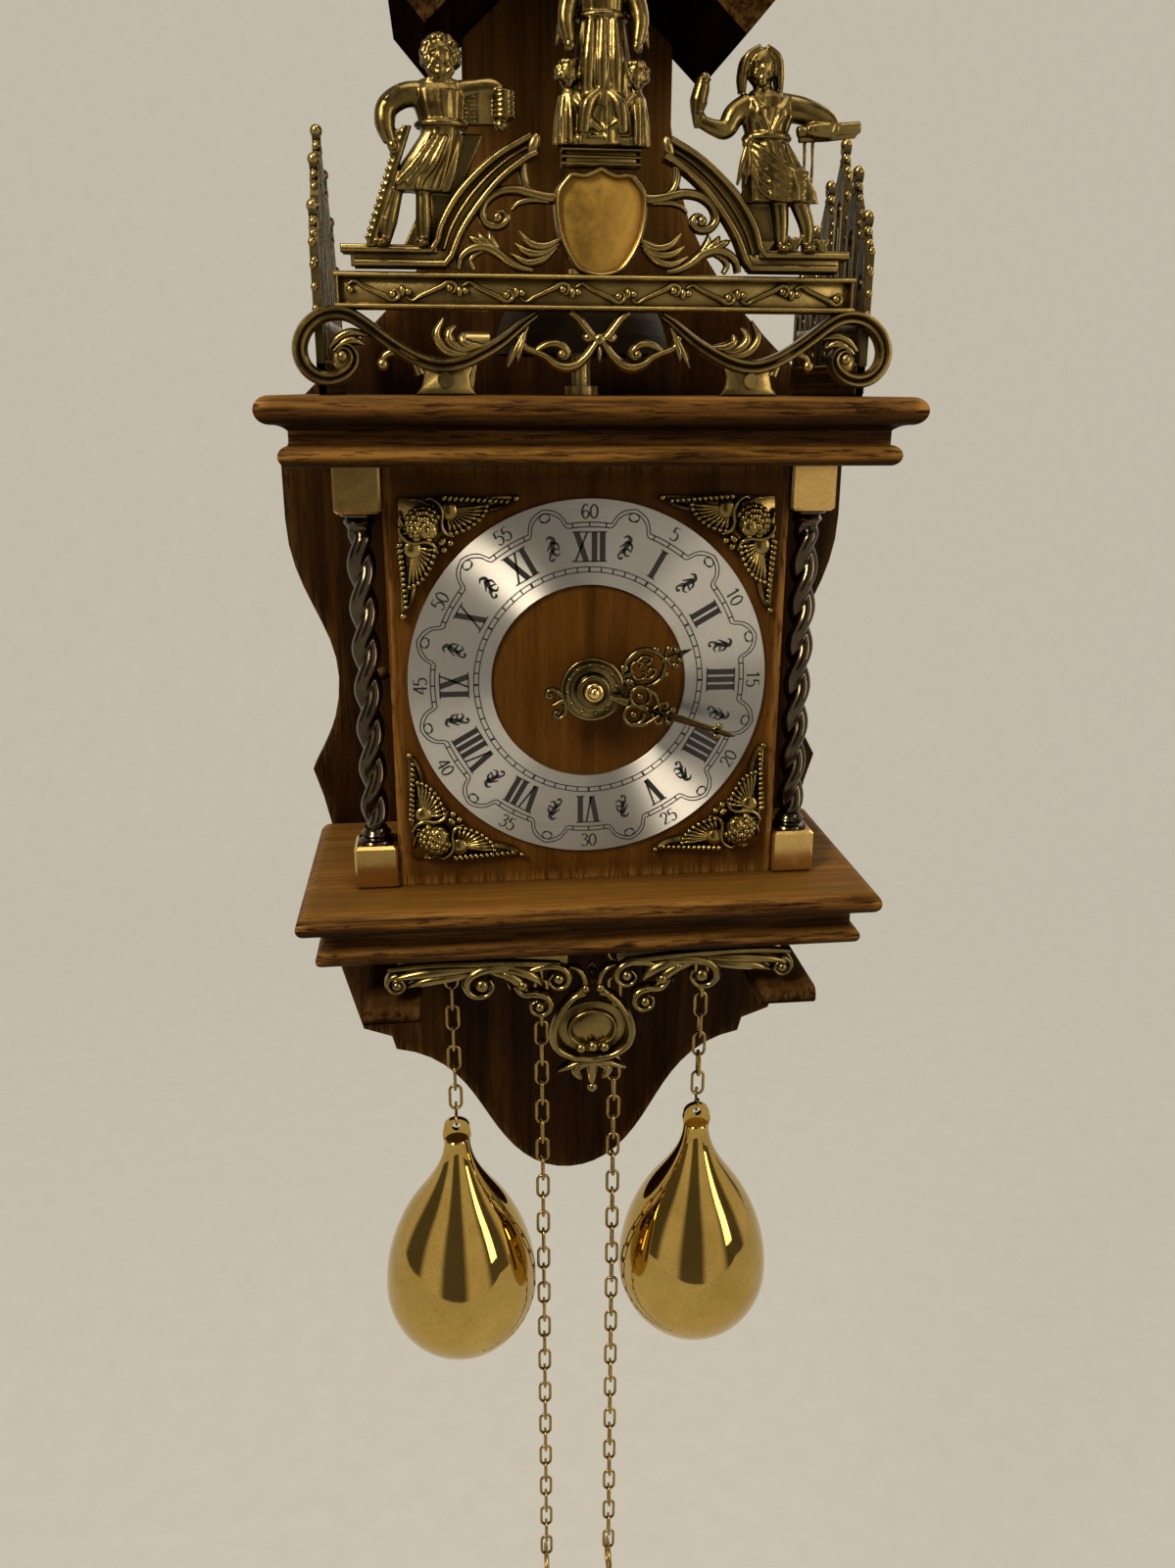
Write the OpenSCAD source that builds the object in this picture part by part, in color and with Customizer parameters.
// Zaandam wall clock with pear weights, brass gallery and a pendulum behind the backboard.
// Sizes are millimetres. +Z is up, +X is the viewer's right and +Y runs into the wall.
// The origin is the hanging screw, on the wall plane.

/* [Dial] */
// Outer diameter of the chapter ring
ring_d = 125; // [118:1:128]
// Diameter of the opening in the chapter ring
ring_hole_d = 68; // [60:1:76]
// Thickness of the chapter ring
ring_t = 1.2; // [0.8:0.1:2]
// Length of the hour hand from its axis
hour_hand_l = 36.5; // [34:0.5:42]
// Length of the minute hand from its axis
minute_hand_l = 52.2; // [48:0.2:58]
// Thickness of each hand
hand_t = 1.4; // [1:0.1:1.8]
// Clock position of the minute hand, degrees past twelve
minute_at = 109.2; // [0:0.1:360]
// Clock position of the hour hand, degrees past twelve
hour_at = 69.1; // [0:0.1:360]

/* [Case] */
// Height of the case between shelf and cornice
case_h = 148; // [146:1:156]
// Depth from the dial panel's face to the backboard
case_d = 69; // [68:0.5:76]
// Thickness of the dial panel
panel_t = 6; // [4.5:0.5:6.5]
// Thickness of the backboard
board_t = 10; // [8:0.5:13]
// Space between the backboard and the wall
wall_gap = 22; // [20:0.5:28]
// Height of the hanging screw above the dial centre
hang_h = 200; // [192:1:206]
// Thickness of the side doors
door_t = 4; // [3.5:0.25:5]
// Swing pin diameter of the side doors
door_pin_d = 2.4; // [1.8:0.2:2.8]

/* [Mouldings] */
// Width of the cornice
cornice_w = 205.4; // [200:0.2:214]
// Overhang of the cornice in front of the dial panel
cornice_reach = 31.4; // [28:0.2:36]
// Height of the cornice
cornice_h = 21; // [20:0.5:26]
// Width of the shelf
shelf_w = 206.4; // [200:0.2:214]
// Overhang of the shelf in front of the dial panel
shelf_reach = 26.3; // [24:0.1:32]
// Height of the shelf
shelf_h = 22; // [21:0.5:27]
// Radius of the round nose on cornice and shelf
nose_r = 4.2; // [3.4:0.1:4.6]
// Radius of the lower bead on cornice and shelf
bead_r = 3.2; // [2.6:0.1:3.6]
// Distance of the bead behind the nose
bead_set_back = 5.4; // [4:0.1:7]

/* [Backboard outline] */
// Width of the backboard beside the dial
board_w = 217; // [208:1:226]
// Width of the narrow neck under the hood
neck_w = 74; // [68:1:80]
// Width at the waist beside the dial
waist_w = 184; // [178:1:190]
// Width at the pointed lugs above the shelf
lug_w = 209; // [204:1:216]
// Width below the shelf
skirt_w = 197; // [188:1:202]
// Width of the shoulders of the tail
shoulder_w = 157.4; // [150:0.2:164]
// Distance of the tail's tip below the dial centre
tail_drop = 248; // [240:1:262]

/* [Hood] */
// Width across the eaves
hood_w = 121; // [114:1:130]
// Slope of the hood boards
hood_slope = 42; // [38:1:46]
// Thickness of the hood boards
hood_t = 17; // [13:0.5:20]
// Depth of the hood boards
hood_d = 72; // [60:1:84]
// Height of the hood's inner ridge above the dial centre
ridge_h = 245; // [240:1:256]

/* [Columns] */
// Distance between the column axes
column_span = 152.4; // [150:0.2:160]
// Width of the square blocks at the column ends
block_w = 15.4; // [13.6:0.2:16.4]
// Height of the square blocks at the column ends
block_h = 16; // [14:0.5:20]
// Diameter of each of the two strands of the twisted shaft
strand_d = 6.4; // [5.4:0.1:6.6]
// Length of one full turn of the twist
twist_pitch = 28.4; // [24:0.2:34]

/* [Brass gallery] */
// Thickness of the front gallery plate
fret_t = 3; // [2.4:0.1:4]
// Length of the banner across the front gallery
banner_w = 152; // [146:1:156]
// Thickness of the side gallery plates
side_fret_t = 2.4; // [1.8:0.1:3]
// Distance between the side galleries
side_fret_span = 166; // [164:1:174]
// Thickness of the apron under the shelf
apron_t = 3.6; // [3:0.1:4.4]

/* [Bell] */
// Diameter of the bell
bell_d = 60; // [54:1:62]
// Height of the bell
bell_h = 24; // [20:0.5:28]
// Wall thickness of the bell
bell_t = 1.8; // [1.4:0.1:2.4]
// Height of the bell's rim above the cornice
bell_lift = 13; // [10:0.5:16]

/* [Movement] */
// Width of the movement plates
plate_w = 120; // [118:0.5:122]
// Thickness of the movement plates
plate_t = 2; // [1.4:0.1:2.4]
// Free space between the movement plates
plate_gap = 36; // [35.6:0.1:37]
// Teeth of each great wheel
great_n = 72; // [60:4:84]
// Leaves of each first pinion
first_pinion_n = 18; // [15:1:20]
// Teeth of the centre wheel and of the third wheel
wheel_n = 72; // [64:4:76]
// Leaves of the small pinions
pinion_n = 8; // [8:1:9]
// Teeth of the escape wheel
escape_n = 45; // [36:1:48]
// Length from the suspension to the middle of the bob
pendulum_l = 242; // [232:1:246]
// Diameter of the pendulum bob
bob_d = 38; // [32:1:44]

/* [Chains and weights] */
// Pitch of the chain
link_pitch = 9.4; // [9.2:0.02:9.6]
// Wire diameter of the chain
link_wire = 1.25; // [1:0.05:1.4]
// Outer width of a link
link_w = 6; // [5.6:0.1:6.4]
// Distance of each weight from the middle of the clock
weight_x = 51.5; // [51:0.1:52.5]
// Largest diameter of the pear weights
pear_d = 65.6; // [56:0.1:65.6]
// Height of the pear weights
pear_h = 115; // [100:1:122]
// Links between the sprocket and each weight
weight_links = 21; // [20:1:25]
// Links between the sprocket and each pull ring
pull_links = 48; // [40:1:52]

/* [Hidden] */
$fn = 48;

// Clearances
run_gap = 0.05;
fit_gap = 0.2;
stand_gap = 0.3;
swing_gap = 0.5;

// Planes across the depth, seen from the dial: the dial's face is at 0
panel_y = ring_t;
panel_back = panel_y + panel_t;
board_y = panel_y + case_d;
board_back = board_y + board_t;
wall_y = board_back + wall_gap;
cornice_front = panel_y - cornice_reach;
shelf_front = panel_y - shelf_reach;
fret_y = cornice_front + nose_r + fit_gap;

// Heights, measured from the dial centre
shelf_top = -case_h / 2;
shelf_bottom = shelf_top - shelf_h;
cornice_bottom = case_h / 2;
cornice_top = cornice_bottom + cornice_h;
bell_rim = cornice_top + bell_lift;

// Columns and the panel between them
column_x = column_span / 2;
column_y = panel_y - 2.5 + block_w / 2;
panel_half = column_x - block_w / 2 - fit_gap;
stile_w = 8;
stile_d = 7.5;
stile_back = panel_back + stile_d;

// Side doors, hung on pins near the backboard
door_outer = panel_half;
door_mid = door_outer - door_t / 2;
door_pivot_y = board_y - 7;
door_rear = board_y - 4;
door_front = max(stile_back, column_y + block_w / 2) + swing_gap + 0.4;
door_pin_in = 5;

// Movement plates and what turns between them
front_plate_y = panel_back + 8.8;
plate_in = front_plate_y + plate_t;
back_plate_y = plate_in + plate_gap;
plate_out = back_plate_y + plate_t;
plate_top = cornice_bottom - 8;
arbor_r = 1.2;
thin_arbor_r = 0.9;
chain_y = plate_in + plate_gap / 2 - 1;

// Chain geometry: a polygon of links on each sprocket
links_per_turn = 12;
link_angle = 360 / links_per_turn;
sprocket_r = link_pitch / (2 * sin(link_angle / 2));
link_slack = 0.3;
link_bend_r = (link_w - link_wire) / 2;
link_half = (link_pitch + link_wire + link_slack) / 2 - link_bend_r;
sprocket_x = weight_x - sprocket_r;
sprocket_z = 8;
pull_x = weight_x - 2 * sprocket_r;
slot_w = link_w + 3;
drum_r = sprocket_r * cos(link_angle / 2) - link_w / 2 - 0.35;
flange_r = sprocket_r - 1;
drum_half = link_w / 2 + 0.6;
flange_t = 1.4;

// Gear proportions
pressure = 28;
addendum = 0.7;
dedendum = 1;
tooth_share = 0.86;

// Going train: places of the arbors and modules of the wheels
great_place = [sprocket_x, sprocket_z];
great_reach = norm(great_place);
great_m = 2 * great_reach / (great_n + first_pinion_n);
center_m = 0.4;
third_m = 0.38;
third_z = center_m * (wheel_n + pinion_n) / 2;
escape_z = third_z + third_m * (wheel_n + pinion_n) / 2;
escape_r = 12;
anchor_rise = 16;
anchor_z = escape_z + anchor_rise;
great_wheel_y = plate_in + 2;
center_wheel_y = back_plate_y - 10;
third_wheel_y = back_plate_y - 6;
escape_wheel_y = plate_in + 8;
wheel_t = 2;
great_t = 2.5;

// Motion work in front of the front plate
cannon_n = 12;
minute_n = 36;
minute_pinion_n = 10;
hour_n = 40;
cannon_m = 0.5;
motion_reach = cannon_m * (cannon_n + minute_n) / 2;
hour_m = 2 * motion_reach / (minute_pinion_n + hour_n);
motion_angle = 225;
motion_place = motion_reach * [cos(motion_angle), sin(motion_angle)];
cannon_pipe_r = 2;
hour_pipe_r = 3.4;
hour_wheel_y = panel_back + 1.4;
minute_wheel_y = front_plate_y - 3.8;
hour_hand_y = -9;
minute_hand_y = hour_hand_y - hand_t - 2.6;
nut_y = minute_hand_y - hand_t;
hour_boss_r = 11;
minute_boss_r = 5.8;

// Strike train on the left, with the hammer above it
strike_place = [-sprocket_x, sprocket_z];
strike_wheel_y = great_wheel_y + great_t + 1;
pin_place = strike_place + [0, great_reach];
pin_n = 64;
pin_m = 0.4;
fly_reach = pin_m * (pin_n + pinion_n) / 2;
fly_angle = 20;
fly_place = pin_place + fly_reach * [cos(fly_angle), sin(fly_angle)];
pin_wheel_y = center_wheel_y;
pin_circle_r = 10;
hammer_place = [-44, plate_top - 6];
hammer_y = plate_in + 10;
hammer_head_z = bell_rim + 4;
bell_y = hammer_y;

// Pendulum behind the backboard
pendulum_y = board_back + wall_gap / 2 - 1;
rod_r = 1;
cock_pin_r = 1;
cock_half = 9;
crutch_l = 45;
crutch_y = board_back + 2.5;

// Weight places
hook_r = 2.6;
weight_top = sprocket_z - weight_links * link_pitch - 2 * hook_r - link_wire;
pear_neck_r = 5.5;
pear_tab_t = 2.4;
pear_tab_h = 9;
pear_hole_r = 1.9;
pear_hole_drop = 3.6;
ring_bend_r = 8;
ring_wire = link_wire + 0.4;
ring_seat = (link_wire + ring_wire) / 2 - (link_wire + link_slack) / 2 + 0.2;
weight_first = (weight_links + 1) % 2;
pull_first = (weight_first + 1) % 2;

// Feet between the backboard and the wall
wall_foot_x = skirt_w / 2 - 26.5;
wall_foot_z = shelf_bottom - 34;
wall_foot_r = 7;

// Console boards under the shelf
console_x = skirt_w / 2 - 26;
console_w = 20.4;
console_t = 6.7;
console_drop = 17;
console_nose = panel_y - 21;
console_web_w = 12;

// Gallery layout in front of the hood
foot_in = 37;
foot_out = 56;
foot_h = 9;
banner_low = 25;
banner_h = 8.4;
ledge_h = 6.6;
arch_in = 18.4;
arch_out = 46;
arch_h = 33;
shield_half_w = 13;
shield_h = 27;
volute_x = 80;
volute_r = 9;
apron_y = shelf_front + bead_set_back + 4.2;

// Mirrors an outline given from top to bottom on the right-hand side
function both_sides(pts) = concat(pts, [for (i = [len(pts) - 1 : -1 : 0]) [-pts[i][0], pts[i][1]]]);
// Points on a cubic curve
function curve(a, b, c, d, n = 8) =
  [for (i = [0 : n]) let (t = i / n, s = 1 - t)
    s * s * s * a + 3 * s * s * t * b + 3 * s * t * t * c + t * t * t * d];
// Points on an arc of an ellipse
function arc(c, rx, ry, from, to, n = 12) =
  [for (i = [0 : n]) let (a = from + (to - from) * i / n) c + [rx * cos(a), ry * sin(a)]];
// Outline of a strip of width w along a list of points
function unit(v) = v / norm(v);
function side_step(pts, i) =
  let (d = unit(pts[min(i + 1, len(pts) - 1)] - pts[max(i - 1, 0)])) [-d[1], d[0]];
function strip(pts, w) = concat(
  [for (i = [0 : len(pts) - 1]) pts[i] + side_step(pts, i) * w / 2],
  [for (i = [len(pts) - 1 : -1 : 0]) pts[i] - side_step(pts, i) * w / 2]);

// Involute gear outline with the middle of one tooth at angle zero
function polar(r, a) = [r * cos(a), r * sin(a)];
function involute(a) = tan(a) * 180 / PI - a;
function flank(q, base, half) = half + involute(pressure) - (q > base ? involute(acos(base / q)) : 0);
function tooth(n, m, steps, at) =
  let (r = n * m / 2, base = r * cos(pressure), tip = r + addendum * m, root = r - dedendum * m,
    half = 90 / n * tooth_share, low = max(root, base),
    radii = [for (i = [0 : steps]) low + (tip - low) * i / steps],
    foot = root < base)
  concat(
    foot ? [polar(root, at - flank(base, base, half))] : [],
    [for (q = radii) polar(q, at - flank(q, base, half))],
    [for (i = [steps : -1 : 0]) polar(radii[i], at + flank(radii[i], base, half))],
    foot ? [polar(root, at + flank(base, base, half))] : []);
function gear(n, m, steps) = [for (k = [0 : n - 1]) each tooth(n, m, steps, 360 * k / n)];
function heading(a, b) = atan2(b[1] - a[1], b[0] - a[0]);

// Places a part drawn about the dial centre into the clock's own frame
module dial_frame() translate([0, -wall_y, -hang_h]) children();

// Extrudes a front-view outline backward from y for the given thickness
module slab(y, t) translate([0, y + t, 0]) rotate([90, 0, 0]) linear_extrude(t) children();

// Round bar along the depth
module bar(place, y0, y1, r)
  translate([place[0], y1, place[1]]) rotate([90, 0, 0]) cylinder(h = y1 - y0, r = r);

// Toothed disc along the depth, turned so that a tooth or a gap faces a neighbour
module toothed(place, y, t, n, m, turn, steps = 1)
  translate([place[0], y + t, place[1]]) rotate([90, 0, 0]) linear_extrude(t) rotate(turn)
    polygon(gear(n, m, steps));

// Tapered round limb between two points
module limb(a, b, ra, rb) {
  d = b - a;
  translate(a) rotate([0, acos(d[2] / norm(d)), atan2(d[1], d[0])]) cylinder(h = norm(d), r1 = ra, r2 = rb);
}

// Edge moulding: round nose above, cove, bead below
module edge_profile(reach, h) {
  slab_low = h - 2 * nose_r;
  cove_r = slab_low - 2 * bead_r;
  translate([0, slab_low]) square([reach - nose_r, 2 * nose_r]);
  translate([reach - nose_r, h - nose_r]) circle(nose_r);
  square([reach - bead_set_back - bead_r, h - nose_r]);
  translate([reach - bead_set_back - bead_r, bead_r]) circle(bead_r);
  difference() {
    translate([reach - nose_r - cove_r, 2 * bead_r]) square(cove_r);
    translate([reach - nose_r, 2 * bead_r]) circle(cove_r);
  }
}

// Board with the moulding on its front and both ends
module moulded_board(w, front, z, h)
  translate([0, board_y, z]) intersection() {
    rotate([90, 0, -90]) linear_extrude(w, center = true) edge_profile(board_y - front, h);
    rotate([90, 0, 0]) linear_extrude(board_y - front) {
      edge_profile(w / 2, h);
      mirror([1, 0]) edge_profile(w / 2, h);
    }
  }

// Case
function board_outline() = let (
  hw = board_w / 2,
  neck = neck_w / 2,
  waist = waist_w / 2,
  lug = lug_w / 2,
  skirt = skirt_w / 2,
  shoulder = shoulder_w / 2,
  rake = tan(hood_slope))
  both_sides(concat(
    [[0, ridge_h], [neck, ridge_h - neck * rake]],
    curve([neck, cornice_top + 92], [neck + 4, cornice_top + 45], [neck + 33, cornice_top + 27],
      [hw - 10.5, cornice_top]),
    [[hw, cornice_bottom - 4]],
    curve([hw, 50], [hw, 22], [waist, 10], [waist, -12], 8),
    curve([waist, -12], [waist, -30], [lug - 4, -42], [lug, -50], 6),
    [[lug - 3.5, -62], [skirt, shelf_top], [skirt, shelf_bottom - 44], [shoulder + 12, shelf_bottom - 74],
      [shoulder, shelf_bottom - 78.5]],
    curve([shoulder - 1.7, shelf_bottom - 85], [shoulder - 30.7, shelf_bottom - 90],
      [42, shelf_bottom - 116], [30, -tail_drop + 19], 10),
    curve([30, -tail_drop + 19], [22, -tail_drop + 7], [12, -tail_drop], [0, -tail_drop], 6)));

module backboard() color("#5b3417") dial_frame() difference() {
  slab(board_y, board_t) polygon(board_outline());
  bar([0, anchor_z], board_y - 1, board_back + 1, 4);
}

module wall_batten() color("#4a2a13") dial_frame() difference() {
  translate([-30, board_back, hang_h - 14]) cube([60, wall_gap - plate_t, 28]);
  bar([0, hang_h], board_back - 1, wall_y, 7);
}

module hanger_plate() color("#b08d57") dial_frame() difference() {
  translate([-16, wall_y - plate_t, hang_h - 12]) cube([32, plate_t, 24]);
  bar([0, hang_h], wall_y - plate_t - 1, wall_y + 1, 3);
}

module wall_feet() color("#4a2a13") dial_frame()
  for (side = [-1, 1]) bar([side * wall_foot_x, wall_foot_z], board_back, wall_y, wall_foot_r);

module hood_board(side) color("#4a2a13") dial_frame() {
  across = hood_w / 2 - hood_t * sin(hood_slope);
  rake = tan(hood_slope);
  mirror([side < 0 ? 1 : 0, 0, 0]) slab(board_back - hood_d, hood_d) polygon([
    [0, ridge_h],
    [across, ridge_h - across * rake],
    [hood_w / 2, ridge_h - across * rake + hood_t * cos(hood_slope)],
    [0, ridge_h + hood_t / cos(hood_slope)]]);
}
module hood_left() hood_board(-1);
module hood_right() hood_board(1);

module chain_slots(z, h) for (x = [-weight_x, -pull_x, pull_x, weight_x])
  translate([x - slot_w / 2, chain_y - slot_w / 2, z]) cube([slot_w, slot_w, h]);

module door_pin_holes(z, h) for (side = [-1, 1])
  translate([side * door_mid, door_pivot_y, z]) cylinder(h = h, d = door_pin_d);

hammer_slot_half = 9;
module cornice() color("#6b3f1d") dial_frame() {
  difference() {
    moulded_board(cornice_w, cornice_front, cornice_bottom, cornice_h);
    chain_slots(cornice_bottom - 1, cornice_h + 2);
    door_pin_holes(cornice_bottom - 1, door_pin_in + 1);
    translate([hammer_place[0] - hammer_slot_half + 2, hammer_y - 3, cornice_bottom - 1])
      cube([2 * hammer_slot_half, 6, cornice_h + 2]);
  }
  for (side = [-1, 1]) translate([side * (foot_in + foot_out) / 2 - 5, fret_y + fret_t, cornice_top])
    cube([10, 6, foot_h - 1]);
}

module shelf() color("#6b3f1d") dial_frame() difference() {
  moulded_board(shelf_w, shelf_front, shelf_bottom, shelf_h);
  chain_slots(shelf_bottom - 1, shelf_h + 2);
  door_pin_holes(shelf_top - door_pin_in, door_pin_in + 1);
}

module dial_panel() color("#7a4a24") dial_frame() difference() {
  translate([-panel_half, panel_y, shelf_top]) cube([2 * panel_half, panel_t, case_h]);
  bar([0, 0], panel_y - 1, panel_back + 1, hour_pipe_r + 0.6);
}

module front_stiles() color("#5b3417") dial_frame() for (side = [-1, 1])
  translate([side * (panel_half - stile_w / 2) - stile_w / 2, panel_back, shelf_top])
    cube([stile_w, stile_d, case_h]);

module door(side) color("#6b3f1d") dial_frame() mirror([side < 0 ? 1 : 0, 0, 0]) {
  knob_y = door_front + 6;
  difference() {
    translate([door_outer - door_t, door_front, shelf_top + fit_gap * 2])
      cube([door_t, door_rear - door_front, case_h - 4 * fit_gap]);
    for (z = [shelf_top, cornice_bottom - door_pin_in - fit_gap])
      translate([door_mid, door_pivot_y, z])
        cylinder(h = door_pin_in + fit_gap, d = door_pin_d + 2 * run_gap);
  }
  translate([door_outer, knob_y, 0]) rotate([0, 90, 0]) cylinder(h = 3, r = 1.4);
  translate([door_outer + 3.6, knob_y, 0]) sphere(2.4);
}
module door_left() door(-1);
module door_right() door(1);

module door_hinge_pins() color("#b08d57") dial_frame() for (side = [-1, 1], top = [0, 1])
  translate([side * door_mid, door_pivot_y, top ? cornice_bottom - door_pin_in : shelf_top - door_pin_in])
    cylinder(h = 2 * door_pin_in, d = door_pin_d);

module console(side) color("#4a2a13") dial_frame() {
  top = shelf_bottom - console_drop;
  translate([side * console_x - console_w / 2, console_nose + console_t / 2, top - console_t])
    cube([console_w, board_y - console_nose - console_t / 2, console_t]);
  translate([side * console_x - console_w / 2, console_nose + console_t / 2, top - console_t / 2])
    rotate([0, 90, 0]) cylinder(h = console_w, d = console_t);
  translate([side * console_x - console_web_w / 2, 0, 0]) rotate([90, 0, 90]) linear_extrude(console_web_w)
    polygon(concat([[board_y, top], [board_y, shelf_bottom], [12, shelf_bottom]],
      curve([12, shelf_bottom], [24, shelf_bottom - 3], [30, top + 3], [42, top], 6)));
}
module console_left() console(-1);
module console_right() console(1);

// Brass gallery and ornaments
module fret_scrolls() {
  low = cornice_top;
  banner_z = low + banner_low;
  for (side = [0, 1]) mirror([side, 0]) {
    translate([foot_in, low]) square([foot_out - foot_in, foot_h]);
    translate([volute_x, low + volute_r + 1]) difference() {
      circle(volute_r);
      circle(volute_r - 3.4);
    }
    translate([volute_x, low + volute_r + 1]) difference() {
      circle(4.2);
      circle(1.6);
    }
    translate([volute_x + 3, low + volute_r + 0.4]) square([4, 1.6]);
    polygon(strip(curve([volute_x, low + 2 * volute_r - 0.4], [volute_x - 22, low + 20],
      [foot_out + 2, low + 5], [foot_in + 8, low + foot_h + 1]), 3.6));
    polygon(strip(curve([foot_in + 9, low + foot_h + 1], [foot_in - 4, low + foot_h],
      [foot_in - 14, low + 20], [14, banner_z + 1]), 3.6));
    polygon(strip(curve([27, low + 17], [20, low + 9], [13, low + 8], [0, low + 16]), 3));
    polygon(strip(curve([46, low + 10], [58, low + 11], [56, low + 20], [52, banner_z + 1]), 4));
  }
}

module fret_upper() {
  top = cornice_top + banner_low + banner_h;
  for (side = [0, 1]) mirror([side, 0]) {
    translate([arch_out - 3, top - 0.5]) square([banner_w / 2 - arch_out, ledge_h + 0.5]);
    polygon(strip(arc([arch_in, top], arch_out - arch_in, arch_h, 0, 90), 6));
    polygon(strip(curve([11, top + 16], [20, top + 22], [26, top + 18], [24, top + 10]), 2.6));
    polygon(strip(curve([24, top + 10], [20, top + 3], [32, top - 1], [arch_out - 2, top + 10]), 2.6));
    polygon(strip(curve([arch_in + 1, top + arch_h], [arch_in - 2, top + 27], [22, top + 22],
      [14, top + 19]), 2.6));
  }
  polygon(arc([0, top + shield_h / 2 - 1], shield_half_w, shield_h / 2 + 1, 0, 360, 36));
  translate([-10.6, top + shield_h - 3]) square([21.2, 8]);
}
pedestal_top = cornice_top + banner_low + banner_h + shield_h + 5;
ledge_top = cornice_top + banner_low + banner_h + ledge_h;

module front_fret() color("#a8873c") dial_frame() difference() {
  slab(fret_y, fret_t) {
    fret_scrolls();
    fret_upper();
    translate([-banner_w / 2, cornice_top + banner_low]) square([banner_w, banner_h]);
  }
  for (side = [-1, 1])
    bar([side * (foot_in + foot_out) / 2, cornice_top + foot_h / 2], fret_y - 1, fret_y + fret_t + 1, 1.2);
}

module fret_screws() color("#8a6d2f") dial_frame() for (side = [-1, 1]) {
  place = [side * (foot_in + foot_out) / 2, cornice_top + foot_h / 2];
  bar(place, fret_y - 1.2, fret_y, 2.2);
  bar(place, fret_y - 0.5, fret_y + fret_t, 1.2);
}

module side_fret(side) color("#a8873c") dial_frame() {
  x = side * side_fret_span / 2 - side_fret_t / 2;
  spires = [[-17, 52], [-5, 66], [9, 76], [23, 66], [37, 54], [50, 40]];
  foot = cornice_front + nose_r + 6;
  translate([x, 0, cornice_top]) rotate([90, 0, 90]) linear_extrude(side_fret_t) difference() {
    union() {
      translate([foot, 0]) square([76, 10]);
      for (s = spires) {
        translate([s[0] - 5, 9]) square([10, s[1] - 19]);
        polygon([[s[0] - 5, s[1] - 11], [s[0], s[1] - 2], [s[0] + 5, s[1] - 11]]);
        translate([s[0], s[1] - 1]) circle(2);
      }
      for (i = [0 : len(spires) - 2])
        translate([spires[i][0], 18]) square([spires[i + 1][0] - spires[i][0], 5]);
    }
    for (s = spires) {
      translate([s[0] - 1.8, 27]) square([3.6, s[1] - 45]);
      translate([s[0], s[1] - 18]) circle(1.8);
    }
  }
}
module side_fret_left() side_fret(-1);
module side_fret_right() side_fret(1);

fret_mid = fret_y + fret_t / 2;
function on_fret(x, z, y = 0) = [x, fret_mid + y, z];

// Foot that stands on the ledge, and the height at which a slanted limb may start above it
foot_rise = 1;
module stand_foot(x, z, r, y = 0) translate(on_fret(x, z, y)) cylinder(h = 2 * foot_rise, r = r);

module figure_left() color("#b8963f") dial_frame() {
  z = ledge_top + stand_gap;
  stand_foot(-57, z, 2.6);
  stand_foot(-51.6, z, 2.4);
  stand_foot(-66, z, 1.6, -2);
  limb(on_fret(-56.6, z + foot_rise), on_fret(-52, z + 17), 2.2, 3.6);
  limb(on_fret(-51.6, z + foot_rise), on_fret(-48.6, z + 17), 2.4, 3.6);
  limb(on_fret(-50, z + 15), on_fret(-46.4, z + 31), 5.6, 4.8);
  limb(on_fret(-46.4, z + 29), on_fret(-46.6, z + 41), 5, 7.4);
  translate(on_fret(-45, z + 49)) sphere(5.4);
  limb(on_fret(-46, z + 40), on_fret(-45.4, z + 46), 3.2, 2.6);
  limb(on_fret(-52, z + 38.6), on_fret(-59.8, z + 25.8, -2), 3, 2.1);
  limb(on_fret(-41, z + 38.6), on_fret(-26, z + 40.6, -2), 3, 2.2);
  limb(on_fret(-66, z + foot_rise, -2.3), on_fret(-57.6, z + 32.4, -2.3), 1.2, 1.1);
}

module figure_right() color("#b8963f") dial_frame() {
  z = ledge_top + stand_gap;
  stand_foot(54, z, 2.4);
  stand_foot(61.8, z, 2.4);
  limb(on_fret(54, z + foot_rise), on_fret(53, z + 17), 2.4, 3);
  limb(on_fret(61.8, z + foot_rise), on_fret(57.6, z + 17), 2.4, 3);
  limb(on_fret(53, z + 14), on_fret(48.4, z + 31), 8, 5.4);
  limb(on_fret(48.4, z + 29), on_fret(48.4, z + 41), 5.4, 8);
  translate(on_fret(45.8, z + 49)) sphere(5.6);
  limb(on_fret(47.4, z + 40), on_fret(46.2, z + 45.6), 3.2, 2.6);
  limb(on_fret(55, z + 38.4), on_fret(66, z + 33, -2), 3, 2.4);
  limb(on_fret(59, z + 32.4, -2), on_fret(75, z + 33.6, -2), 1.9, 1.9);
  limb(on_fret(42, z + 38.4), on_fret(35.6, z + 31, -1), 3, 2.4);
  limb(on_fret(36.4, z + 31.2, -1), on_fret(28, z + 37, -1), 2, 1.8);
  limb(on_fret(28.4, z + 34, -1), on_fret(29.4, z + 46, -1), 1.6, 1.4);
}

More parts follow.
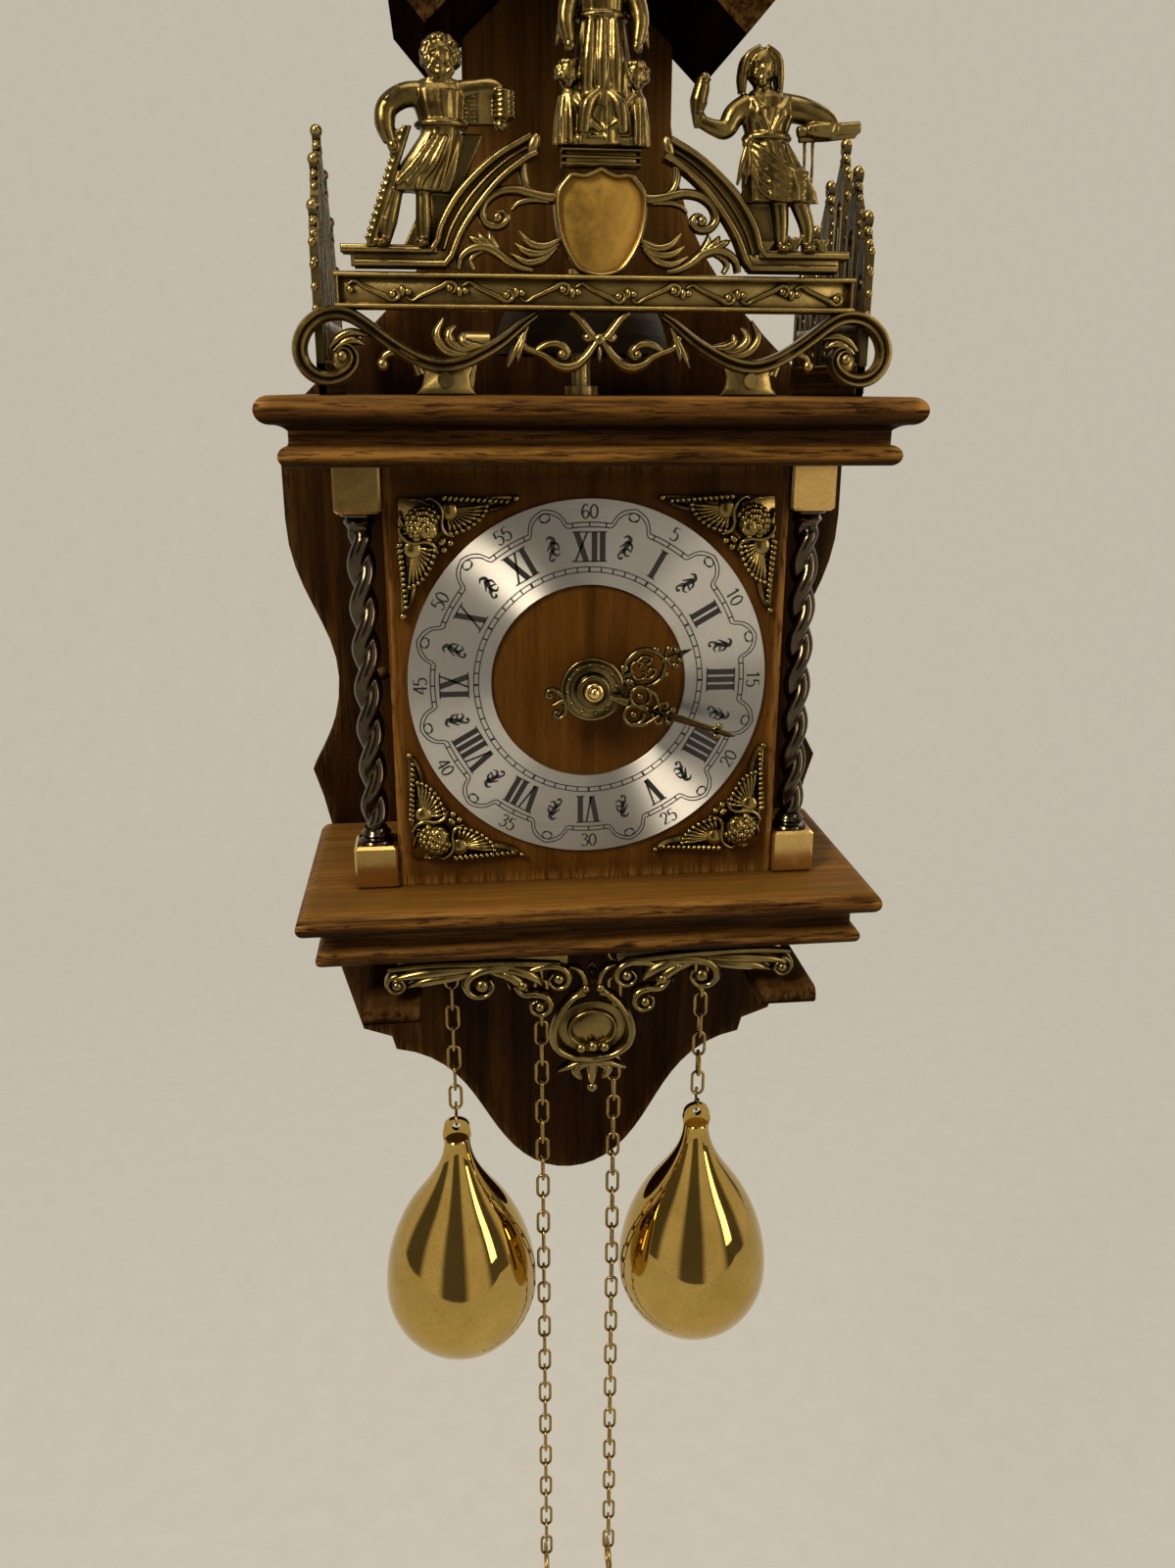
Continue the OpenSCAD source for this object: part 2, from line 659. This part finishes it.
module figure_center() color("#b8963f") dial_frame() {
  z = pedestal_top + stand_gap;
  limb(on_fret(0, z), on_fret(0, z + 34), 10.4, 6);
  limb(on_fret(0, z + 32), on_fret(0, z + 47), 6, 6.8);
  translate(on_fret(0, z + 56)) sphere(5.4);
  limb(on_fret(0, z + 46), on_fret(0, z + 52), 3, 2.6);
  for (side = [-1, 1]) {
    limb(on_fret(side * 9, z), on_fret(side * 8.6, z + 15), 4, 3);
    translate(on_fret(side * 9.4, z + 18.6, -1)) sphere(4);
    limb(on_fret(side * 5, z + 45), on_fret(side * 12, z + 34, -2), 2.6, 2.2);
  }
}

module apron() color("#a8873c") dial_frame() {
  low = shelf_bottom;
  slab(apron_y, apron_t) {
    for (side = [0, 1]) mirror([side, 0]) {
      polygon(strip(curve([0, low - 4], [20, low - 3.6], [50, low - 3.6], [76, low - 3.8]), 6.8));
      translate([74, low - 8.2]) circle(4.6);
      translate([41, low - 9.5]) circle(5.6);
      translate([20, low - 12]) circle(5);
      polygon(strip(curve([22, low - 6], [8, low - 16], [18, low - 24], [12, low - 36]), 5));
      polygon(strip(curve([12, low - 36], [10, low - 44], [4, low - 44], [0, low - 44]), 5));
      polygon(strip(curve([0, low - 50], [6, low - 49], [10, low - 49], [14, low - 46]), 4));
    }
    polygon(arc([0, low - 31], 10, 13, 0, 360, 24));
    translate([-4, low - 50]) square([8, 44]);
    translate([0, low - 54]) circle(3.4);
  }
  for (side = [-1, 1]) {
    translate([side * 41, apron_y, low - 9.5]) sphere(2.4);
    translate([side * 20, apron_y, low - 12]) sphere(2);
  }
}

// Corner ornament: a head between two wings, cut to the ring
module spandrel() {
  corner = ring_d / 2 + 1.5;
  tip = ring_d / 2 - 38;
  translate([0, panel_y, 0]) {
    slab(-1.6, 1.6) difference() {
      polygon(concat([[corner, corner]],
        curve([corner, tip], [corner - 9, tip + 14], [corner - 18, corner - 26], [corner - 26, corner - 18]),
        curve([corner - 26, corner - 18], [corner - 20, corner - 9], [tip + 14, corner - 9], [tip, corner])));
      circle(ring_d / 2 + 0.4);
    }
    translate([corner - 11, -3.2, corner - 11]) sphere(5);
  }
}
module spandrels() color("#c9a23a") dial_frame() for (a = [0, 1], b = [0, 1])
  mirror([a, 0, 0]) mirror([0, 0, b]) intersection() {
    spandrel();
    translate([0, panel_y - 20, 0]) cube([panel_half, 20, cornice_bottom]);
  }

// Columns
shaft_low = shelf_top + block_h;
shaft_high = cornice_bottom - block_h;
collar_h = 5;
module column(side) color("#8c7446") dial_frame() translate([side * column_x, column_y, 0]) {
  twist_h = shaft_high - shaft_low - 2 * collar_h;
  translate([0, 0, shaft_low]) cylinder(h = collar_h, r1 = block_w / 2 - 1, r2 = strand_d * 0.7);
  translate([0, 0, shaft_high - collar_h]) cylinder(h = collar_h, r1 = strand_d * 0.7, r2 = block_w / 2 - 1);
  translate([0, 0, shaft_low + collar_h - 0.5])
    linear_extrude(twist_h + 1, twist = -360 * (twist_h + 1) / twist_pitch, slices = 44, $fn = 14)
      for (s = [-1, 1]) translate([s * strand_d * 0.235, 0]) circle(d = strand_d);
}
module column_left() column(-1);
module column_right() column(1);

module column_blocks() color("#c9a23a") dial_frame() for (side = [-1, 1], z = [shelf_top, shaft_high])
  translate([side * column_x - block_w / 2, column_y - block_w / 2, z]) cube([block_w, block_w, block_h]);

// Dial
module chapter_ring() color("#cfd2d6") dial_frame() difference() {
  bar([0, 0], 0, ring_t, ring_d / 2);
  bar([0, 0], -1, ring_t + 1, ring_hole_d / 2);
}

module hour_hand_shape() difference() {
  union() {
    circle(hour_boss_r);
    translate([-1.6, 0]) square([3.2, hour_hand_l - 6]);
    translate([0, 20]) circle(6);
    translate([0, hour_hand_l - 9]) circle(3.8);
    polygon([[-2, hour_hand_l - 8], [0, hour_hand_l], [2, hour_hand_l - 8]]);
    translate([0, -12]) circle(3.4);
  }
  circle(hour_pipe_r);
  for (a = [15 : 30 : 345]) rotate(a) translate([8.4, 0]) circle(0.9);
  for (s = [-1, 1]) translate([s * 3.4, 20]) circle(1.6);
}
module hour_hand() color("#b8963f") dial_frame()
  slab(hour_hand_y - hand_t, hand_t) rotate(-hour_at) hour_hand_shape();

module minute_hand_shape() difference() {
  union() {
    circle(minute_boss_r);
    polygon([[-2, 0], [-0.8, minute_hand_l - 6], [0, minute_hand_l], [0.8, minute_hand_l - 6], [2, 0]]);
    translate([0, 17]) circle(5.6);
    translate([0, 28]) circle(3);
  }
  circle(cannon_pipe_r);
  for (s = [-1, 1]) translate([s * 3.2, 17]) circle(1.5);
}
module minute_hand() color("#b8963f") dial_frame()
  slab(minute_hand_y - hand_t, hand_t) rotate(-minute_at) minute_hand_shape();

module hand_nut() color("#c9a23a") dial_frame() {
  bar([0, 0], nut_y - 3, nut_y, 3.4);
  translate([0, nut_y - 3, 0]) sphere(2.2);
}

// Movement frame
plate_pillar_r = 3;
pillar_places = [[-plate_w / 2 + 4, plate_top - 6], [plate_w / 2 - 4, plate_top - 6],
  [-sprocket_x, shelf_top + 12], [sprocket_x, shelf_top + 12]];
pivot_places = [[great_place, arbor_r], [strike_place, arbor_r], [[0, 0], arbor_r],
  [[0, third_z], thin_arbor_r], [[0, escape_z], thin_arbor_r], [[0, anchor_z], arbor_r],
  [pin_place, arbor_r], [fly_place, thin_arbor_r], [hammer_place, arbor_r]];

module movement_plate(y) difference() {
  translate([-plate_w / 2, y, shelf_top]) cube([plate_w, plate_t, plate_top - shelf_top]);
  for (p = pivot_places) bar(p[0], y - 1, y + plate_t + 1, p[1] + run_gap);
}
module front_plate() color("#b5984a") dial_frame() {
  movement_plate(front_plate_y);
  bar(motion_place, panel_back + 0.8, front_plate_y + 0.5, 1);
}
module back_plate() color("#b5984a") dial_frame() movement_plate(back_plate_y);
module plate_pillars() color("#a8873c") dial_frame() for (p = pillar_places)
  bar(p, plate_in, back_plate_y, plate_pillar_r);

// Arbor between the plates, with its pivots in both of them
module arbor(place, r) bar(place, front_plate_y, plate_out, r);

// Wheels of the going train
center_to_great = heading([0, 0], great_place);
module great_wheel(place, y, toward) difference() {
  union() {
    toothed(place, y, great_t, great_n, great_m, toward);
    arbor(place, arbor_r);
    bar(place, y, chain_y - drum_half - flange_t - 0.6, 4);
  }
  for (a = [45 : 90 : 315]) bar(place + polar(great_n * great_m * 0.29, a), y - 1, y + great_t + 1,
    great_n * great_m * 0.13);
}
module time_great_wheel() color("#b5984a") dial_frame()
  great_wheel(great_place, great_wheel_y, center_to_great + 180);
module strike_great_wheel() color("#b5984a") dial_frame() great_wheel(strike_place, strike_wheel_y, 90);

module sprocket(place) difference() {
  translate([place[0], chain_y, place[1]]) rotate([90, 0, 0]) rotate_extrude() polygon([
    [arbor_r + run_gap, -drum_half - flange_t], [flange_r, -drum_half - flange_t], [flange_r, -drum_half],
    [drum_r, -drum_half + 1], [drum_r, drum_half - 1], [flange_r, drum_half],
    [flange_r, drum_half + flange_t], [arbor_r + run_gap, drum_half + flange_t]]);
  for (a = [0 : 60 : 300]) bar(place + polar(8.5, a), chain_y - 10, chain_y + 10, 2.4);
}
module time_sprocket() color("#a8873c") dial_frame() sprocket(great_place);
module strike_sprocket() color("#a8873c") dial_frame() sprocket(strike_place);

module center_wheel() color("#b5984a") dial_frame() {
  arbor([0, 0], arbor_r);
  bar([0, 0], nut_y + 0.4, front_plate_y + 1, arbor_r);
  toothed([0, 0], great_wheel_y - 0.5, great_t + 1, first_pinion_n, great_m,
    center_to_great + 180 / first_pinion_n, 3);
  toothed([0, 0], center_wheel_y, wheel_t, wheel_n, center_m, 90);
}

module third_wheel() color("#b5984a") dial_frame() {
  arbor([0, third_z], thin_arbor_r);
  toothed([0, third_z], center_wheel_y - 0.5, wheel_t + 1, pinion_n, center_m, 270 + 180 / pinion_n, 3);
  toothed([0, third_z], third_wheel_y, wheel_t, wheel_n, third_m, 90);
}

module escape_wheel() color("#c9a23a") dial_frame() {
  arbor([0, escape_z], thin_arbor_r);
  toothed([0, escape_z], third_wheel_y - 0.5, wheel_t + 1, pinion_n, third_m, 270 + 180 / pinion_n, 3);
  slab(escape_wheel_y, 1.2) translate([0, escape_z]) difference() {
    polygon([for (k = [0 : escape_n - 1], s = [0 : 2]) let (a = 360 / escape_n * (k + [0, 0.24, 0.5][s]))
      polar([escape_r - 1.6, escape_r, escape_r - 1.6][s], a)]);
    for (a = [45 : 90 : 315]) rotate(a) translate([6, 0]) circle(2.6);
  }
}

// Anchor with its pallets, arbor and the crutch behind the backboard
pallet_angle = 52;
pallet_r = escape_r + 1.1;
module anchor() color("#9aa0a6") dial_frame() {
  nib = pallet_r * [sin(pallet_angle), cos(pallet_angle)] + [0, escape_z];
  bar([0, anchor_z], front_plate_y, crutch_y + 2, arbor_r);
  slab(escape_wheel_y - 0.4, 2) {
    translate([0, anchor_z]) circle(3);
    for (side = [0, 1]) mirror([side, 0]) polygon([[0, anchor_z + 2], [8, anchor_z - 2.4],
      nib + [2, 1], nib, nib + [-0.6, 2], [5.6, anchor_z - 3.4], [0, anchor_z - 2]]);
  }
  bar([0, anchor_z], crutch_y, crutch_y + 2, 3);
  translate([-1, crutch_y, anchor_z - crutch_l]) cube([2, 2, crutch_l - 1]);
  for (side = [-1, 1]) translate([side * (rod_r + 0.9) - 0.6, crutch_y, anchor_z - crutch_l])
    cube([1.2, pendulum_y - crutch_y + 2, 3]);
  translate([-rod_r - 1.5, crutch_y, anchor_z - crutch_l]) cube([2 * rod_r + 3, 2, 3]);
}

// Motion work
module cannon_pinion() color("#b5984a") dial_frame() difference() {
  union() {
    toothed([0, 0], minute_wheel_y - 0.4, wheel_t + 0.8, cannon_n, cannon_m,
      motion_angle + 180 / cannon_n, 3);
    bar([0, 0], nut_y, minute_wheel_y, cannon_pipe_r);
  }
  bar([0, 0], nut_y - 1, front_plate_y, arbor_r + run_gap);
}

module minute_wheel() color("#b5984a") dial_frame() difference() {
  union() {
    toothed(motion_place, minute_wheel_y, wheel_t, minute_n, cannon_m, motion_angle + 180);
    toothed(motion_place, hour_wheel_y - 0.3, minute_wheel_y - hour_wheel_y + 0.4, minute_pinion_n, hour_m,
      motion_angle + 180 + 180 / minute_pinion_n, 3);
  }
  bar(motion_place, panel_back, front_plate_y, 1 + run_gap);
}

module hour_wheel() color("#b5984a") dial_frame() difference() {
  union() {
    toothed([0, 0], hour_wheel_y, wheel_t, hour_n, hour_m, motion_angle);
    bar([0, 0], hour_hand_y - hand_t, hour_wheel_y + 0.5, hour_pipe_r);
  }
  bar([0, 0], hour_hand_y - hand_t - 1, hour_wheel_y + wheel_t + 1, cannon_pipe_r + run_gap);
}

// Strike train
module pin_wheel() color("#b5984a") dial_frame() {
  arbor(pin_place, arbor_r);
  toothed(pin_place, strike_wheel_y - 0.5, great_t + 1, first_pinion_n, great_m,
    270 + 180 / first_pinion_n, 3);
  toothed(pin_place, pin_wheel_y, wheel_t, pin_n, pin_m, fly_angle);
  for (a = [0 : 45 : 315]) bar(pin_place + polar(pin_circle_r, a), pin_wheel_y - 4, pin_wheel_y + 0.5, 0.8);
}

module fly() color("#9aa0a6") dial_frame() {
  arbor(fly_place, thin_arbor_r);
  toothed(fly_place, pin_wheel_y - 0.5, wheel_t + 1, pinion_n, pin_m, fly_angle + 180 + 180 / pinion_n, 3);
  slab(pin_wheel_y + 3.4, 5.6) translate(fly_place) rotate(30) {
    square([15, 0.8], center = true);
    circle(1.8);
  }
}

// Bell, its stand and the hammer
module hammer() color("#a8873c") dial_frame() {
  head = [-bell_d / 2 - 1, hammer_head_z];
  arbor(hammer_place, arbor_r);
  bar(hammer_place, hammer_y - 1.5, hammer_y + 1.5, 3);
  limb([hammer_place[0], hammer_y, hammer_place[1]], [head[0] - 4, hammer_y, head[1]], 1.3, 1.1);
  translate([head[0] - 8, hammer_y, head[1]]) rotate([0, 90, 0]) cylinder(h = 8, r = 3.4);
  slab(pin_wheel_y - 3.5, 1.6) polygon(strip([hammer_place, pin_place + [-2.5, pin_circle_r + 2.4]], 1.8));
}

bell_r = bell_d / 2;
bell_seat_r = 5.4;
bell_post_r = 2.5;
module bell() color("#b08d57") dial_frame() translate([0, bell_y, bell_rim]) difference() {
  rotate_extrude() difference() {
    polygon(concat([[0, 0], [bell_r, 0]], curve([bell_r, 0], [bell_r - 2, bell_h * 0.7],
      [bell_r * 0.62, bell_h], [bell_seat_r, bell_h]), [[0, bell_h]]));
    polygon(concat([[0, -1], [bell_r - bell_t, -1]], curve([bell_r - bell_t, 0],
      [bell_r - bell_t - 2, (bell_h - bell_t) * 0.7], [bell_r * 0.6, bell_h - bell_t],
      [bell_seat_r, bell_h - bell_t]), [[0, bell_h - bell_t]]));
  }
  translate([0, 0, bell_h - bell_t - 1]) cylinder(h = bell_t + 2, r = bell_post_r + fit_gap);
}

module bell_stand() color("#8a6d2f") dial_frame() translate([0, bell_y, cornice_top]) {
  cylinder(h = 3, r = 6);
  cylinder(h = bell_lift + bell_h - bell_t, r = 3.4);
  cylinder(h = bell_lift + bell_h + 4, r = bell_post_r);
  translate([0, 0, bell_lift + bell_h]) cylinder(h = 3, r = 4.4);
}

// Pendulum
bob_z = anchor_z - pendulum_l;
module pendulum_rod() color("#9aa0a6") dial_frame() difference() {
  union() {
    bar([0, anchor_z], pendulum_y - 1.5, pendulum_y + 1.5, 3);
    translate([0, pendulum_y, bob_z - bob_d / 2 - 8]) cylinder(h = pendulum_l + bob_d / 2 + 6, r = rod_r);
  }
  bar([0, anchor_z], pendulum_y - 3, pendulum_y + 3, cock_pin_r + run_gap);
}

module pendulum_bob() color("#c9a23a") dial_frame() translate([0, pendulum_y, bob_z]) difference() {
  union() {
    rotate([90, 0, 0]) rotate_extrude() polygon(concat([[0, -4.5]],
      curve([0, -4.5], [bob_d * 0.25, -4.5], [bob_d * 0.44, -2.5], [bob_d / 2, -0.6], 5),
      curve([bob_d / 2, 0.6], [bob_d * 0.44, 2.5], [bob_d * 0.25, 4.5], [0, 4.5], 5)));
    translate([0, 0, -bob_d / 2 - 5]) cylinder(h = 5.6, r = 3);
  }
  translate([0, 0, -bob_d]) cylinder(h = 2 * bob_d, r = rod_r);
}

module suspension_cock() color("#8a6d2f") dial_frame() {
  bridge_y = pendulum_y + 3;
  translate([-cock_half, bridge_y, anchor_z - 5]) cube([2 * cock_half, 2, 10]);
  for (side = [-1, 1]) translate([side * (cock_half - 1) - 1, board_back, anchor_z - 5])
    cube([2, bridge_y - board_back + 2, 10]);
  bar([0, anchor_z], pendulum_y - 2.5, bridge_y + 0.5, cock_pin_r);
}

// Chains
module link(turn) rotate(turn) {
  for (s = [-1, 1]) {
    translate([0, 0, s * link_half]) rotate([90, 0, 0]) rotate(s > 0 ? 0 : 180)
      rotate_extrude(angle = 180) translate([link_bend_r, 0]) circle(d = link_wire);
    translate([s * link_bend_r, 0, -link_half]) cylinder(h = 2 * link_half, d = link_wire);
  }
}

// Straight run of links below a sprocket's side
module chain_run(x, count, first) for (k = [0 : count - 1])
  translate([x, chain_y, sprocket_z - (k + 0.5) * link_pitch]) link(90 * ((k + first) % 2));

// Hook between the last link and a weight
module hook(x) translate([x, chain_y, weight_top]) rotate(90) {
  for (s = [0, 1]) translate([0, 0, s * 2 * hook_r]) rotate([90, 0, 0]) rotate(s ? 90 : -90)
    rotate_extrude(angle = s ? -250 : 250) translate([hook_r, 0]) circle(d = link_wire);
}

// Ring at the end of a pull chain
module pull_ring(x) translate([x, chain_y, sprocket_z - pull_links * link_pitch - ring_bend_r + ring_seat])
  rotate([90, 0, 90 * ((pull_links + pull_first) % 2)]) rotate_extrude()
    translate([ring_bend_r, 0]) circle(d = ring_wire);

module time_chain() color("#b08d57") dial_frame() {
  chain_run(weight_x, weight_links, weight_first);
  hook(weight_x);
}
module strike_chain() color("#b08d57") dial_frame() {
  chain_run(-weight_x, weight_links, weight_first);
  hook(-weight_x);
}
module time_pull_chain() color("#b08d57") dial_frame() {
  chain_run(pull_x, pull_links, pull_first);
  pull_ring(pull_x);
}
module strike_pull_chain() color("#b08d57") dial_frame() {
  chain_run(-pull_x, pull_links, pull_first);
  pull_ring(-pull_x);
}

// Half turn of links over a sprocket, from the weight's side to the pull side
module chain_loop(side) for (k = [0 : links_per_turn / 2 - 1]) {
  a = link_angle * (k + 0.5);
  translate([side * (sprocket_x + sprocket_r * cos(link_angle / 2) * cos(a)), chain_y,
      sprocket_z + sprocket_r * cos(link_angle / 2) * sin(a)])
    rotate([0, -side * a, 0]) link(90 * ((k + pull_first) % 2));
}
module chain_loops() color("#b08d57") dial_frame() {
  chain_loop(-1);
  chain_loop(1);
}

// Pear weight hanging from its flattened neck
module pear(x) translate([x, chain_y, weight_top + pear_hole_drop - hook_r]) difference() {
  r = pear_d / 2;
  ball = -0.71 * pear_h;
  flare = [0.56 * r, -0.335 * pear_h];
  lean = [0.2 * r, -0.08 * pear_h];
  rotate_extrude() polygon(concat([[0, 0], [pear_neck_r, 0]],
    curve([pear_neck_r, -0.1 * pear_h], [pear_neck_r + 0.6, -0.19 * pear_h], flare - lean, flare, 7),
    curve(flare, flare + lean, [r, ball + 0.16 * pear_h], [r, ball], 7),
    arc([0, ball], r, pear_h + ball, -9, -90, 9)));
  for (s = [-1, 1]) translate([-r, s > 0 ? pear_tab_t / 2 : -pear_d - pear_tab_t / 2, -pear_tab_h])
    cube([pear_d, pear_d, pear_tab_h + 1]);
  translate([0, 0, -pear_hole_drop]) rotate([90, 0, 0]) cylinder(h = pear_d, r = pear_hole_r, center = true);
}
module time_weight() color("#d4a93c") dial_frame() pear(weight_x);
module strike_weight() color("#d4a93c") dial_frame() pear(-weight_x);

backboard();
wall_batten();
hanger_plate();
wall_feet();
hood_left();
hood_right();
cornice();
shelf();
dial_panel();
front_stiles();
door_left();
door_right();
door_hinge_pins();
console_left();
console_right();
front_fret();
fret_screws();
side_fret_left();
side_fret_right();
figure_left();
figure_right();
figure_center();
apron();
spandrels();
column_left();
column_right();
column_blocks();
chapter_ring();
hour_hand();
minute_hand();
hand_nut();
front_plate();
back_plate();
plate_pillars();
time_great_wheel();
time_sprocket();
center_wheel();
cannon_pinion();
third_wheel();
escape_wheel();
anchor();
minute_wheel();
hour_wheel();
strike_great_wheel();
strike_sprocket();
pin_wheel();
fly();
hammer();
bell();
bell_stand();
pendulum_rod();
pendulum_bob();
suspension_cock();
time_chain();
time_pull_chain();
strike_chain();
strike_pull_chain();
chain_loops();
time_weight();
strike_weight();
